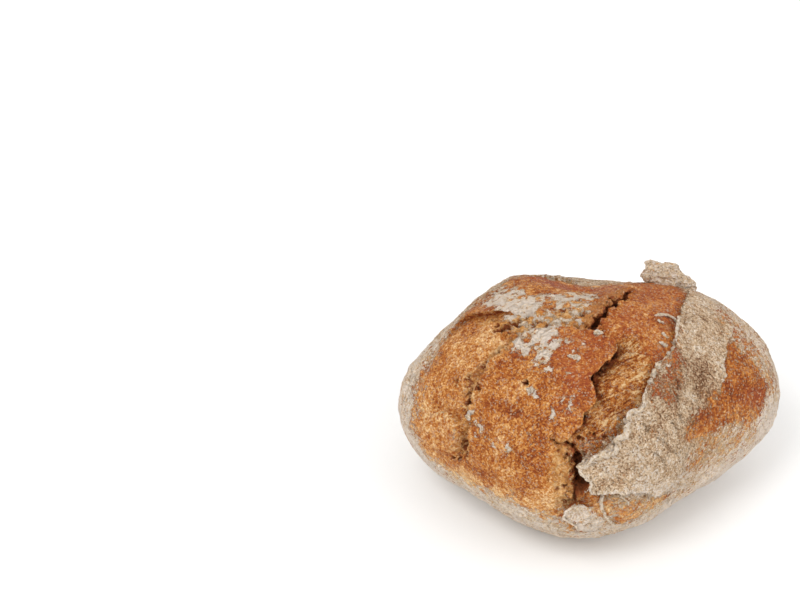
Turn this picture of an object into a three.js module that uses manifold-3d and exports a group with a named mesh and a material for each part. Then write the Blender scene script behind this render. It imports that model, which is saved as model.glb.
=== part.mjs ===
// A rustic bread roll with a burst crust, resting on the small flat spot it was baked on.
// Millimetres, +Z up, the front towards -Y, origin at the middle of the bounding box on the resting plane.
// The roll was baked as one piece, so it is one solid: a domed lozenge of dough, less the splits that
// opened in the oven, with the torn edges of the floured skin standing on it.
import * as THREE from "three";
import { mergeVertices } from "three/addons/utils/BufferGeometryUtils.js";
import Module from "manifold-3d";

// ---- driving dimensions -------------------------------------------------------------------------

const HALF_LENGTH = 42; // waist, along X, before the end bulges
const HALF_WIDTH = 41; // waist, along Y
const CROWN = 34; // rise of the dome above the waist
const BELLY = 26; // depth of the round underside below the waist
const BASE_DROP = 24; // the flat spot lies this far below the waist
const PLAN_POWER = 1.86; // under 2, so that the roll is lozenge-shaped from above
const SIDE_POWER = 2.2; // over 2, so that its sides stand a little fuller than an ellipse
const GRID = 20; // cells along each side of the body's six patches

// Where the dough swelled or sank: the direction in degrees round and above the waist's middle, the
// spread in degrees, and how far it rose.
const BULGES = [
  { name: "left end", round: 180, above: 0, spread: 30, rise: 7 },
  { name: "front nose", round: -97, above: -15, spread: 24, rise: 1.5 },
  { name: "right end", round: 5, above: 0, spread: 26, rise: 12.5 },
  { name: "back left shoulder", round: 122, above: 42, spread: 24, rise: 2.5 },
  { name: "back right shoulder", round: 65, above: 38, spread: 24, rise: -2 },
  { name: "left flank", round: -138, above: -12, spread: 24, rise: -1.5 },
  { name: "right flank", round: -45, above: -15, spread: 26, rise: -1 },
  { name: "saddle behind the crown", round: 92, above: 50, spread: 22, rise: -6.5 },
  { name: "left rear hollow", round: 155, above: 20, spread: 24, rise: -2 },
  { name: "right rear swell", round: 30, above: 20, spread: 24, rise: 5.5 },
];

// The crust is laid out on a flat map, a stereographic one, whose middle is the front of the crown. On it u
// runs to the roll's right and v up the front and over the crown to the back.
const MAP_RADIUS = 45; // one millimetre on the map is about one on the crust near the middle
const MAP_MIDDLE = { round: -90, above: 42 };

// Splits: [u, v] points on the map from top to bottom or left to right, and the greatest width and depth.
const SPLITS = [
  {
    name: "main split, upper",
    path: [[27, 63], [18, 49], [11, 41], [6, 35], [2, 28]],
    width: 4.5,
    depth: 6,
  },
  {
    name: "main split, lower",
    path: [[12, 26], [11, 20], [7, 15], [1, 8], [3, 1], [-1, -5], [-5, -11]],
    width: 4.5,
    depth: 5,
  },
  {
    name: "mouth under the tongue",
    path: [[-3, -11], [-2, -16], [-1.5, -21], [-1, -26], [-5, -33]],
    width: 6,
    depth: 6,
  },
  {
    name: "left tear",
    path: [[-27, 27], [-33, 19], [-38, 10], [-41, -2], [-41, -10], [-45, -18]],
    width: 4,
    depth: 2.5,
  },
  {
    name: "left rear crease",
    path: [[-57, 39], [-50, 42], [-44, 41], [-30, 39]],
    width: 3,
    depth: 2.5,
  },
];

// Torn edges of the floured skin: their points on the map, the width across, and the height above the crust.
const SKIN_EDGES = [
  {
    name: "curled edge",
    path: [[38, 38], [38, 30], [32, 19], [24, 12], [18, 2], [13, -4], [8, -12], [2, -14], [-1, -17]],
    width: 2.2,
    height: 1.2,
  },
  {
    name: "tongue rim",
    path: [[-1, -17], [1, -22], [3, -26], [12, -27.5], [24, -31]],
    width: 2.4,
    height: 1.4,
  },
  {
    name: "hanging shred",
    path: [[3, -25], [5, -30], [6, -35], [9, -41]],
    width: 1.6,
    height: 1,
  },
  {
    name: "lower flap",
    path: [[-3, -31], [-6, -35], [-3, -40], [2, -46]],
    width: 2.4,
    height: 1.2,
  },
  {
    name: "standing shred behind the crown",
    path: [[47, 84], [53, 79], [58, 73], [62, 69]],
    width: 3.2,
    height: 6.5,
  },
];

const ROOT = 2.5; // how far a skin edge reaches down into the dough
const CLEAR = 2; // how far the solid that cuts a split stands out of the crust
const STEPS_ALONG = 12; // stretches along each split and each skin edge

// ---- the crust ----------------------------------------------------------------------------------

const radians = THREE.MathUtils.degToRad;

function direction(round, above) {
  return new THREE.Vector3(
    Math.cos(radians(above)) * Math.cos(radians(round)),
    Math.cos(radians(above)) * Math.sin(radians(round)),
    Math.sin(radians(above)),
  );
}

const bulges = BULGES.map((b) => ({ ...b, towards: direction(b.round, b.above) }));

// Distance from the middle of the waist to the crust, along a unit direction.
function crustRadius(d) {
  const along = Math.abs(d.x / HALF_LENGTH) ** PLAN_POWER;
  const across = Math.abs(d.y / HALF_WIDTH) ** PLAN_POWER;
  const plan = (along + across) ** (1 / PLAN_POWER);
  const side = Math.abs(d.z / (d.z > 0 ? CROWN : BELLY));
  let r = (plan ** SIDE_POWER + side ** SIDE_POWER) ** (-1 / SIDE_POWER);
  for (const { towards, spread, rise } of bulges) {
    r += rise * Math.exp(-(1 - d.dot(towards)) / (1 - Math.cos(radians(spread))));
  }
  return r;
}

// The point of the crust in a direction, cut off flat where it rests.
function crustPoint(d) {
  const p = d.clone().normalize();
  p.multiplyScalar(crustRadius(p));
  p.z = Math.max(p.z, -BASE_DROP);
  return p;
}

const mapOut = direction(MAP_MIDDLE.round, MAP_MIDDLE.above);
const mapRight = new THREE.Vector3(1, 0, 0);
const mapUp = mapOut.clone().cross(mapRight);

// The direction of a point on the map.
function mapDirection([u, v]) {
  const s = (u * u + v * v) / (4 * MAP_RADIUS * MAP_RADIUS);
  const c = (1 - s) / (1 + s);
  return mapOut
    .clone()
    .multiplyScalar(c)
    .addScaledVector(mapRight, ((1 + c) * u) / (2 * MAP_RADIUS))
    .addScaledVector(mapUp, ((1 + c) * v) / (2 * MAP_RADIUS));
}

// A box's grid blown out to the crust: six patches of even cells that meet edge to edge.
function bodyGeometry() {
  const box = new THREE.BoxGeometry(2, 2, 2, GRID, GRID, GRID);
  box.deleteAttribute("normal");
  box.deleteAttribute("uv");
  const closed = mergeVertices(box, 1e-6);
  const position = closed.attributes.position;
  const even = (x) => Math.tan((x * Math.PI) / 4);
  for (let i = 0; i < position.count; i++) {
    const d = new THREE.Vector3(
      even(position.getX(i)),
      even(position.getY(i)),
      even(position.getZ(i)),
    );
    position.setXYZ(i, ...crustPoint(d));
  }
  return closed;
}

// ---- splits and skin edges ----------------------------------------------------------------------

// A closed bar that follows a path over the crust. section(t) gives its outline at share t of the path, as
// [across, out] pairs in millimetres that run anticlockwise as seen from the path's far end.
function crustBar(path, section) {
  const course = new THREE.CatmullRomCurve3(path.map((p) => crustPoint(mapDirection(p))));
  const points = [];
  for (let i = 0; i <= STEPS_ALONG; i++) {
    const t = i / STEPS_ALONG;
    const at = crustPoint(course.getPointAt(t));
    const out = at.clone().normalize();
    const across = out.clone().cross(course.getTangentAt(t)).normalize();
    for (const [a, o] of section(t)) {
      points.push(at.clone().addScaledVector(across, a).addScaledVector(out, o));
    }
  }
  const sides = section(0).length;
  const faces = [];
  for (let i = 0; i < STEPS_ALONG; i++) {
    for (let k = 0; k < sides; k++) {
      const a = i * sides + k;
      const b = i * sides + ((k + 1) % sides);
      faces.push(a, b, b + sides, a, b + sides, a + sides);
    }
  }
  const last = STEPS_ALONG * sides;
  for (let k = 1; k < sides - 1; k++) {
    faces.push(0, k + 1, k, last, last + k, last + k + 1);
  }
  const bar = new THREE.BufferGeometry().setFromPoints(points);
  bar.setIndex(faces);
  return bar;
}

// Share of the full width and depth at share t of the path: a fifth at both ends, all of it in the middle.
const taper = (t) => 0.2 + 0.8 * Math.sin(Math.PI * t) ** 0.6;

// A split's outline: on a path that runs down the map it undercuts the left wall and slopes up to the right.
function splitSection(width, depth) {
  return (t) => {
    const w = width * taper(t);
    const h = depth * taper(t);
    return [
      [-0.5 * w, -0.8 * h],
      [0, -h],
      [0.5 * w, -0.3 * h],
      [0.8 * w, CLEAR],
      [-0.3 * w, CLEAR],
    ];
  };
}

// A skin edge's outline: a thin ridge with a rounded top, rooted in the dough.
function edgeSection(width, height) {
  return (t) => {
    const w = (width / 2) * taper(t);
    const h = height * taper(t);
    return [
      [-w, -ROOT],
      [w, -ROOT],
      [w, 0.4 * h],
      [0.4 * w, h],
      [-0.4 * w, h],
      [-w, 0.5 * h],
    ];
  };
}

// ---- the solid ----------------------------------------------------------------------------------

const wasm = await Module();
wasm.setup();

function solidOf(geometry) {
  return new wasm.Manifold(
    new wasm.Mesh({
      numProp: 3,
      vertProperties: new Float32Array(geometry.attributes.position.array),
      triVerts: new Uint32Array(geometry.index.array),
    }),
  );
}

function geometryOf(solid) {
  const made = solid.getMesh();
  const geometry = new THREE.BufferGeometry();
  geometry.setAttribute("position", new THREE.BufferAttribute(made.vertProperties, 3));
  geometry.setIndex(new THREE.BufferAttribute(made.triVerts, 1));
  return geometry;
}

let roll = solidOf(bodyGeometry());
for (const { path, width, depth } of SPLITS) {
  roll = roll.subtract(solidOf(crustBar(path, splitSection(width, depth))));
}
for (const { path, width, height } of SKIN_EDGES) {
  roll = roll.add(solidOf(crustBar(path, edgeSection(width, height))));
}

// The origin goes to the middle of the bounding box, on the resting plane.
const geometry = geometryOf(roll);
geometry.computeBoundingBox();
const middle = geometry.boundingBox.getCenter(new THREE.Vector3());
geometry.translate(-middle.x, -middle.y, -geometry.boundingBox.min.z);
geometry.computeVertexNormals();

const crust = new THREE.MeshStandardMaterial({ color: 0xb8814e, roughness: 0.85, metalness: 0 });
const breadRoll = new THREE.Mesh(geometry, crust);
breadRoll.name = "bread_roll";

const part = new THREE.Group();
part.add(breadRoll);

export default part;
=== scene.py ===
import itertools
import math

import bpy
import numpy as np
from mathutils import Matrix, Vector


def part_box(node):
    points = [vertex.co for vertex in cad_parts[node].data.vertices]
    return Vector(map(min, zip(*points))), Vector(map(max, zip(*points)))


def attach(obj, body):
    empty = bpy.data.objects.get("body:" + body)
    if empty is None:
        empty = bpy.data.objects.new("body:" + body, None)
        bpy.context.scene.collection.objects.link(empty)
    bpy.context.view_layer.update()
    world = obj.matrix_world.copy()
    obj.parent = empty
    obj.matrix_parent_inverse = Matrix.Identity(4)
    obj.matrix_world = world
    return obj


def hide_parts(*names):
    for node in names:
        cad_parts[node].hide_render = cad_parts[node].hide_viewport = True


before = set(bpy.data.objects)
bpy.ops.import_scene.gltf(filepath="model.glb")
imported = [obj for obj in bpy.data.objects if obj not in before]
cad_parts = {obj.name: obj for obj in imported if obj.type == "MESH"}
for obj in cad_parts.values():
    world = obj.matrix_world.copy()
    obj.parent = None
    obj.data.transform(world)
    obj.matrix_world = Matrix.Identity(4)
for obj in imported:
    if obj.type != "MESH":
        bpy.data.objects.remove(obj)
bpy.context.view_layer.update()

MM = 0.001

# ---- the dough: the domed lozenge that the frame's solid is cut from -----------------------------------

HALF_LENGTH, HALF_WIDTH = 42.0, 41.0   # the waist, along X and Y, before the end bulges
CROWN, BELLY, BASE_DROP = 34.0, 26.0, 24.0   # above the waist, below it, and down to the flat spot
PLAN_POWER, SIDE_POWER = 1.86, 2.2

# Each bulge: degrees round and above the waist's middle, spread in degrees, rise in millimetres.
BULGES = np.array([
    (180, 0, 30, 7), (-97, -15, 24, 1.5), (5, 0, 26, 12.5), (122, 42, 24, 2.5), (65, 38, 24, -2),
    (-138, -12, 24, -1.5), (-45, -15, 26, -1), (92, 50, 22, -6.5), (155, 20, 24, -2), (30, 20, 24, 5.5)])

MAP_RADIUS = 45.0   # the crust is laid out on a stereographic map with about this many mm to the radian


def direction(round_degrees, above_degrees):
    """Unit vectors from degrees round the waist and degrees above it."""
    r, a = np.broadcast_arrays(np.radians(round_degrees), np.radians(above_degrees))
    return np.stack([np.cos(a) * np.cos(r), np.cos(a) * np.sin(r), np.sin(a)], -1)


MAP_OUT = direction(-90, 42)   # the map's middle: the front of the crown
MAP_RIGHT = np.array([1.0, 0.0, 0.0])
MAP_UP = np.cross(MAP_OUT, MAP_RIGHT)


def crust_radius(d):
    """Distance to the plain crust along unit directions: a superellipse in plan and another in height,
    (((x/a)^p + (y/b)^p)^(q/p) + (z/c)^q)^(-1/q), plus for each bulge its rise times
    exp(-(1 - cos angle) / (1 - cos spread))."""
    plan = (np.abs(d[:, 0] / HALF_LENGTH) ** PLAN_POWER + np.abs(d[:, 1] / HALF_WIDTH) ** PLAN_POWER)
    side = np.abs(d[:, 2] / np.where(d[:, 2] > 0, CROWN, BELLY))
    r = (plan ** (SIDE_POWER / PLAN_POWER) + side ** SIDE_POWER) ** (-1 / SIDE_POWER)
    towards = direction(BULGES[:, 0], BULGES[:, 1])
    narrow = 1 - np.cos(np.radians(BULGES[:, 2]))
    return r + (BULGES[:, 3] * np.exp(-(1 - d @ towards.T) / narrow)).sum(1)


def to_direction(place):
    """Unit directions of [u, v] points of the map (inverse stereographic projection)."""
    s = (place ** 2).sum(1) / (4 * MAP_RADIUS ** 2)
    c = (1 - s) / (1 + s)
    flat = (place[:, :1] * MAP_RIGHT + place[:, 1:2] * MAP_UP) / (2 * MAP_RADIUS)
    return c[:, None] * MAP_OUT + (1 + c)[:, None] * flat


def to_map(d):
    """[u, v] on the map of unit directions: 2R (d.right, d.up) / (1 + d.out)."""
    near = np.maximum(1 + d @ MAP_OUT, 0.02)
    return 2 * MAP_RADIUS * np.stack([d @ MAP_RIGHT, d @ MAP_UP], 1) / near[:, None]


def map_axes(place):
    """Unit vectors that lie in the sphere along the map's u and v at each place."""
    s = (place ** 2).sum(1) / (4 * MAP_RADIUS ** 2)
    w = 2 / (1 + s)
    lean = MAP_OUT + (place[:, :1] * MAP_RIGHT + place[:, 1:2] * MAP_UP) / (2 * MAP_RADIUS)
    along_u = MAP_RIGHT - (w * place[:, 0] / (2 * MAP_RADIUS))[:, None] * lean
    along_v = MAP_UP - (w * place[:, 1] / (2 * MAP_RADIUS))[:, None] * lean
    return along_u, along_v


# ---- noise ---------------------------------------------------------------------------------------------

rng = np.random.default_rng(11)
SHUFFLE = np.concatenate([rng.permutation(256)] * 2)
GRADIENTS = rng.normal(size=(256, 3))
GRADIENTS /= np.linalg.norm(GRADIENTS, axis=1)[:, None]
JITTER = rng.random((256, 3))


def hashed(cell, seed):
    """A repeatable number 0..255 for each whole-number cell."""
    x = SHUFFLE[(cell[..., 0] + seed) & 255]
    y = SHUFFLE[(cell[..., 1] + x) & 255]
    return SHUFFLE[(cell[..., 2] + y) & 255]


def noise(p, seed=0):
    """Gradient noise, about -1..1: the dot products with a random gradient at each of the eight corners of
    the cell, blended by 6t^5 - 15t^4 + 10t^3."""
    cell = np.floor(p).astype(int)
    f = p - cell
    w = f ** 3 * (f * (f * 6 - 15) + 10)
    total = np.zeros(len(p))
    for corner in itertools.product((0, 1), repeat=3):
        corner = np.array(corner)
        pull = ((f - corner) * GRADIENTS[hashed(cell + corner, seed)]).sum(1)
        total += pull * np.prod(np.where(corner == 1, w, 1 - w), 1)
    return 1.6 * total


def fractal(p, octaves=4, seed=0, fall=0.5):
    """Noise summed over octaves, each twice as fine and `fall` times as strong."""
    return sum(fall ** k * noise(p * 2 ** k + 17.3 * k, seed + k) for k in range(octaves))


def ridged(p, octaves=3, seed=0):
    """Sharp crests, 0..1: one minus the size of the noise, summed over octaves."""
    total = sum(0.5 ** k * (1 - np.abs(noise(p * 2 ** k + 9.1 * k, seed + k))) for k in range(octaves))
    return total / sum(0.5 ** k for k in range(octaves))


def cells(p, seed=0):
    """Distance to the nearest of one random point per unit cell."""
    cell = np.floor(p).astype(int)
    best = np.full(len(p), 9.0)
    for shift in itertools.product((-1, 0, 1), repeat=3):
        near = cell + np.array(shift)
        best = np.minimum(best, ((near + JITTER[hashed(near, seed)] - p) ** 2).sum(1))
    return np.sqrt(best)


def smooth(low, high, x):
    """0 below low, 1 above high, and 3t^2 - 2t^3 between."""
    t = np.clip((x - low) / (high - low), 0, 1)
    return t * t * (3 - 2 * t)


def bell(x, middle, wide):
    """1 at the middle, falling away on both sides: exp(-((x - middle) / wide)^2)."""
    return np.exp(-((x - middle) / wide) ** 2)


# ---- paths and regions on the map ----------------------------------------------------------------------


def curve(points, steps=4, closed=False):
    """A Catmull-Rom curve through rows of [u, v, ...]; every column is carried along."""
    p = np.array(points, float)
    p = np.vstack([p[-1], p, p[:2]]) if closed else np.vstack([2 * p[0] - p[1], p, 2 * p[-1] - p[-2]])
    a, b, c, d = p[:-3, None], p[1:-2, None], p[2:-1, None], p[3:, None]
    t = (np.arange(steps) / steps)[None, :, None]
    square, cube = (2 * a - 5 * b + 4 * c - d) * t ** 2, (3 * b - a - 3 * c + d) * t ** 3
    q = 0.5 * (2 * b + (c - a) * t + square + cube)
    return np.vstack([q.reshape(-1, p.shape[1]), p[-2:-1]])


def boxed(place, path, margin):
    """Which places lie in the path's bounding box, grown by a margin."""
    low, high = path[:, :2].min(0) - margin, path[:, :2].max(0) + margin
    return ((place > low) & (place < high)).all(1)


def beside(place, path):
    """For each place its nearest point on a polyline: the distance, positive on the left of the way the
    path runs, the unit direction to that left, and the path's further columns there. Places more than REACH
    off the path's box get the distance FAR and zeros."""
    a, step = path[:-1], path[1:] - path[:-1]
    length2 = (step[:, :2] ** 2).sum(1)
    left = np.stack([-step[:, 1], step[:, 0]], 1) / np.sqrt(length2)[:, None]
    found = np.zeros((len(place), 1 + path.shape[1]))
    found[:, 0] = FAR
    close = np.flatnonzero(boxed(place, path, REACH))
    for rows in np.array_split(close, max(1, len(close) // 8000)):
        off = place[rows, None, :] - a[None, :, :2]
        t = np.clip((off * step[:, :2]).sum(-1) / length2, 0, 1)
        gap = off - t[..., None] * step[:, :2]
        k = (gap ** 2).sum(-1).argmin(1)
        each = np.arange(len(rows))
        gap, t = gap[each, k], t[each, k]
        side = np.where((gap * left[k]).sum(1) < 0, -1.0, 1.0)
        distance = side * np.sqrt((gap ** 2).sum(1))
        found[rows] = np.column_stack([distance, left[k], a[k, 2:] + t[:, None] * step[k, 2:]])
    return found[:, 0], found[:, 1:3], found[:, 3:]


def region(place, outline, soft):
    """1 inside a closed outline and 0 outside, changing over `soft` mm each side of it."""
    ring = curve(outline, 3, closed=True)
    value = np.zeros(len(place))
    rows = np.flatnonzero(boxed(place, ring, 2 * soft))
    some = place[rows]
    distance = np.abs(beside(some, ring)[0])
    a, b = ring[:-1], ring[1:]
    above = (a[:, 1] > some[:, 1:2]) != (b[:, 1] > some[:, 1:2])
    slope = (b[:, 0] - a[:, 0]) / np.where(b[:, 1] == a[:, 1], 1e-9, b[:, 1] - a[:, 1])
    crosses = above & (some[:, :1] < a[:, 0] + slope * (some[:, 1:2] - a[:, 1]))
    inside = crosses.sum(1) % 2 == 1
    value[rows] = smooth(-soft, soft, np.where(inside, distance, -distance))
    return value


REACH, FAR = 35.0, 99.0   # how far off a path distances are worked out, and what the rest get

# Torn edges, where the crust on the right of the way the path runs stands over the dough on its left.
# Each point: u, v, rise of the high side, drop of the low side.
PLATE_EDGE = [
    (-26, 25, .0, .0), (-21, 28, .4, .6), (-14.5, 28, .6, .9), (-8.5, 28.7, .7, 1.2), (-2, 27.7, .9, 1.6),
    (2.5, 26.5, 1.1, 2.2), (6.5, 24.3, 1.4, 2.8), (11, 21.4, 1.7, 3.4), (10.4, 18.5, 1.8, 3.5),
    (7.5, 15, 1.8, 3.6), (3.6, 11.5, 1.7, 3.8), (1.6, 8, 1.6, 3.8), (1.9, 4, 1.6, 3.8),
    (2.6, .5, 1.5, 3.7), (0, -2, 1.3, 3.4), (-1.2, -4.5, 1.1, 3.0), (-3, -6.5, .9, 2.4),
    (-4.4, -9, .6, 1.4), (-6.5, -12, .0, .0)]
SKIN_EDGE = [
    (42, -28, .0, .0), (32.5, -30, .6, .5), (24.5, -31, 1.0, 1.0), (17.5, -27.6, 1.4, 1.5),
    (11.5, -27, 1.8, 1.8), (6.5, -26.4, 2.1, 2.0), (2.8, -26.2, 2.4, 2.2), (.2, -24.6, 2.6, 2.2),
    (.9, -21.6, 2.6, 2.2), (-.6, -19, 2.6, 2.0), (-1.8, -16.6, 2.6, 1.6), (-.5, -14.8, 2.4, 1.2),
    (2.5, -14.4, 2.2, 1.0), (5.3, -13.3, 2.0, 1.0), (8, -12.7, 1.8, 1.0), (8.8, -10, 1.6, 1.0),
    (11.9, -7.9, 1.5, 1.0), (12.2, -5, 1.4, 1.0), (13, -3, 1.3, 1.0), (15.2, -1.8, 1.3, 1.0),
    (17.5, .5, 1.2, .9), (19, 4, 1.1, .8), (22, 8.8, 1.0, .8), (23.7, 12.3, .9, .7), (27, 14.7, .9, .7),
    (31.5, 18.7, .8, .6), (35.5, 26, .8, .6), (39.5, 34, .8, .6), (45, 42.5, .6, .4), (53, 53, .4, .2),
    (62, 68, .0, .0)]
SHELF_EDGE = [
    (-27, 38, .0, .0), (-32, 40, .5, .9), (-38, 41.5, .8, 1.5), (-44.5, 41.5, 1.0, 1.7),
    (-50, 42.8, 1.0, 1.6), (-55, 41, .8, 1.2), (-59, 35, .5, .6), (-61, 26, .0, .0)]
FLAP_EDGE = [
    (4, -48, .0, .0), (-.5, -42, 1.0, .8), (-4.5, -37.8, 1.5, 1.4), (-6.2, -34.6, 1.7, 1.8),
    (-3.6, -31.4, 1.6, 1.6), (0, -32.4, .9, .8), (4, -33, .0, .0)]
PATCH_EDGE = [
    (69, 39, .0, .0), (64, 32, .4, .5), (58, 24, .6, .9), (55, 17, .6, 1.0), (52.5, 9, .5, .8),
    (50, 4, .2, .4), (45, 1, .0, .0)]
TEAR_EDGE = [
    (-46, -21, .0, .0), (-42, -15, .5, .7), (-39.8, -9, .7, .8), (-39.5, -3, .6, .7), (-38.6, 3, .6, .7),
    (-36.6, 8, .7, .8), (-34.4, 13, .8, 1.0), (-31.5, 18.2, .8, 1.0), (-27, 23, .6, .7),
    (-22, 27, .0, .0)]
BAND_EDGE = [
    (-24, 29, .0, .0), (-18, 29.6, .4, .4), (-12, 31.5, .5, .5), (-5, 30.2, .5, .6), (1, 30.6, .4, .5),
    (4, 29, .0, .0)]
RIDGE_EDGE = [
    (9.5, 16, .0, .0), (13, 18, .5, .5), (17, 18.5, .6, .6), (21, 17.5, .4, .4), (25, 18, .0, .0)]
BUMP_EDGE = [
    (-59, -7, .0, .0), (-55, -3.6, .6, .6), (-50, -2.4, .8, .8), (-45.8, -4.6, 1.0, 1.0),
    (-43.8, -9.5, 1.0, 1.1), (-45, -14, .7, .9), (-48, -18, .0, .0)]
BACK_EDGE = [
    (10, 112, .0, .0), (0, 112, .8, .6), (-12, 108, 1.0, .8), (-24, 100, .7, .6), (-34, 90, .0, .0)]

# Splits: u, v, half width, depth.
UPPER_SPLIT = [
    (31, 66, .4, .8), (26.5, 60, .8, 2.4), (23, 55.5, .9, 3.2), (20.2, 50.6, .7, 3.4),
    (16, 47.6, 1.0, 3.8), (13.6, 43.6, .8, 3.8), (10.6, 41.2, 1.0, 3.8), (8.6, 37.4, .8, 3.6),
    (5.6, 34.6, 1.0, 3.6), (4, 30.4, .9, 3.2), (2, 28, .8, 2.6)]
MOUTH = [
    (-8.5, -11, .4, 1.0), (-5.6, -11.8, .6, 1.8), (-3.6, -14.2, .7, 2.6), (-2.9, -18, .9, 3.8),
    (-2.1, -21.5, 1.2, 4.4), (-1.4, -25, 1.3, 4.2), (-3.4, -28.6, 1.0, 2.8), (-6.5, -32, .6, 1.0)]
LEFT_TEAR = [
    (-24, 28, 1.0, .5), (-29, 23, 1.5, 1.1), (-33.5, 18.2, 1.8, 1.6), (-36.5, 13, 1.8, 1.6),
    (-38.7, 8, 1.6, 1.2), (-40.6, 3, 1.4, 1.0), (-41.4, -3, 1.4, .9), (-41.6, -9, 1.6, 1.0),
    (-44, -15, 2.0, 1.2), (-47, -20, 1.2, .6)]

# Single pits and holes: u, v, half length, half width, turn in degrees, depth.
PITS = [
    (-20, 7.5, 1.3, 1.0, 0, 2.8), (-23.5, 35.6, 1.4, .7, 5, 2.0), (-27.6, 32.6, 1.2, 1.0, 20, 2.0),
    (-32.0, 30, 3.4, 1.2, 5, 2.2), (-32.5, 19.5, 1.5, .8, 60, 2.0), (-35.5, 15.6, 2.4, .9, 45, 2.0),
    (-40.2, 1.2, 2.1, 1.5, 70, 3.0), (-36.6, 6.0, 1.2, .9, 40, 2.4), (-44.5, 60, 1.3, .6, 15, 1.4),
    (-41.5, 10.2, 1.8, .7, 30, 1.6), (-46, 8.0, 1.0, .8, 60, 1.2), (-39.8, -8, .8, .6, 90, 1.4),
    (-51, -21, 1.6, .7, 30, 1.4), (-5.5, -15, 1.0, .7, 60, 1.8), (-5, -20.5, 1.2, .7, 70, 2.0),
    (-6.5, -25, .9, .7, 30, 1.6), (-5.2, -29.5, 1.3, .7, -30, 1.6), (-13.5, 41.6, 1.3, .6, 10, 1.4),
    (-8.6, 40.4, 1.6, .7, 0, 1.6), (-43.4, -16.6, 1.9, 1.4, 60, 2.8), (-28, 28, 1.2, .7, 60, 1.6),
    (2.4, 66, 2.0, .6, 10, 1.2), (-7, 66, 2.2, .6, 5, 1.2), (36.5, 76.5, 2.6, .7, 10, 1.2),
    (-36, 35, 2.2, .6, 15, 1.2), (-44, 36.5, 2.0, .5, 10, .8), (5.5, 54, 1.0, .5, 20, 1.2),
    (-1, 49, .9, .5, 0, 1.0), (-7.5, 33, 1.0, .5, 10, 1.2), (22.5, -16, 3.6, .28, -32, .5),
    (24.5, -12, 2.6, .25, -38, .45), (18, -7, 1.8, .25, -45, .45), (29.4, -6.8, 2.0, .28, -42, .5),
    (29.5, -15.5, 2.4, .25, -30, .45), (30.6, 2.4, 2.4, .4, -60, .8), (31.6, 7, 1.8, .35, 80, .7),
    (32.2, -4.6, 2.0, .3, -75, .6), (-18, 33.5, 1.2, .6, 10, 1.2), (-3, 34.5, 1.4, .6, 0, 1.2),
    (4, 35.5, 1.1, .6, 30, 1.2), (-40.8, 6.5, .8, .6, 0, 1.2), (-47, -20.5, 1.2, .8, 30, 1.4),
    (2, -8.5, 1.0, .7, 40, 1.6), (5.5, -10.4, .9, .6, 20, 1.4), (-1.5, -10.5, .9, .7, 0, 1.6)]

# Flecks of flour: u, v, size, amount.
FLECKS = [
    (4.5, 24, 1.5, .9), (-6.5, 22, 1.3, .8), (-3.4, 16.2, 1.3, 1.0), (-1.6, 15.2, 1.2, 1.0),
    (-12.5, 11, 1.2, .6), (-18.5, 5, 1.6, 1.0), (-16.6, 3.6, 1.1, .8), (-5.5, 10, 1.1, .7),
    (-30, -12.5, 1.6, .5), (-38, -5, 1.5, 1.0), (-38.4, -2.6, 1.3, .9), (-24, -15, 1.3, .8),
    (-33, -10, 1.8, .5), (-36, -8.5, 1.5, .5), (-10, -3, 1.6, .5), (-5, 1, 1.8, .5), (-8, 3.5, 1.4, .5),
    (-13, 22, 2.0, .5), (-2, 20, 1.2, .6), (-29, 6, 1.6, .4), (-14, 44, 2.0, -.7), (-6.5, 44, 1.6, -.7),
    (-1, 46.5, 1.5, -.5), (-7.5, 38.5, 1.8, -.8), (.5, 35.5, 1.8, -.8), (6, 37, 1.6, -.5),
    (-18, 40, 1.6, -.5), (-26, 35, 1.8, -.6), (-22, 38, 1.5, .5), (-17, 36, 1.3, .6), (-2, 33, 1.3, .6),
    (-10, 33, 1.3, .6), (2, 38, 1.4, .4)]

# Regions of the map. The bare crust is where the skin burst; the rest of the roll keeps its floured skin.
BURST = [
    (62, 74), (57, 62), (53, 53), (45, 42.5), (39.5, 34), (35.5, 26), (31.5, 18.7), (27, 14.7), (22, 8.8),
    (19, 4), (15.2, -1.8), (12.2, -5), (11, -8.5), (8, -12.6), (2.5, -14.4), (-1.8, -16.6), (.9, -21.6),
    (2, -27), (1, -31), (-3.6, -31.4), (-6.2, -34.6), (-4, -38.5), (0, -43), (-6, -42), (-15, -38.5),
    (-26, -36), (-37, -35.5), (-49, -33), (-59, -29), (-65, -21), (-67, -12), (-66, -2), (-64, 9),
    (-61, 20), (-59, 31), (-57.5, 42), (-54, 52), (-47, 59), (-41, 66), (-37, 78), (-30, 92), (-12, 101),
    (14, 99), (36, 94), (50, 88), (60, 80)]
SKIN_SIDE = [
    (62, 74), (53, 53), (45, 42.5), (39.5, 34), (35.5, 26), (31.5, 18.7), (27, 14.7), (22, 8.8), (19, 4),
    (15.2, -1.8), (12.2, -5), (11, -8.5), (8, -12.6), (2.5, -14.4), (-1.8, -16.6), (.9, -21.6),
    (.2, -24.6), (2.8, -26.2), (17.5, -27.6), (24.5, -31), (42, -28), (60, -10), (74, 0), (84, 20),
    (80, 50), (70, 70)]
SKIN_PATCH = [
    (58.5, 25), (62, 23), (67, 18), (71, 12), (73.5, 6.5), (72, 0), (68, -6), (58.5, -6), (51, -8.5),
    (42, -11), (35, -10), (36, -5), (41, -1.5), (46.5, 1.5), (52, 6.5), (54, 12.5), (56, 19)]
MOUTH_SIDE = [
    (-10, -9), (-4, -10.5), (-1.5, -14), (-1.5, -24), (-3, -30), (-9, -34), (-11, -26), (-10, -16)]
SPLIT_SIDE = [
    (1, 27), (6, 34), (12, 42.5), (20, 52), (28, 64), (23, 66), (14, 57), (5, 46), (-1, 37), (-4, 30)]
FLAP = [
    (-3.5, -31.5), (-6, -34.5), (-4, -37.5), (-1, -41.5), (2.5, -47), (6, -43.5), (7.5, -39), (4, -34)]
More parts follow.
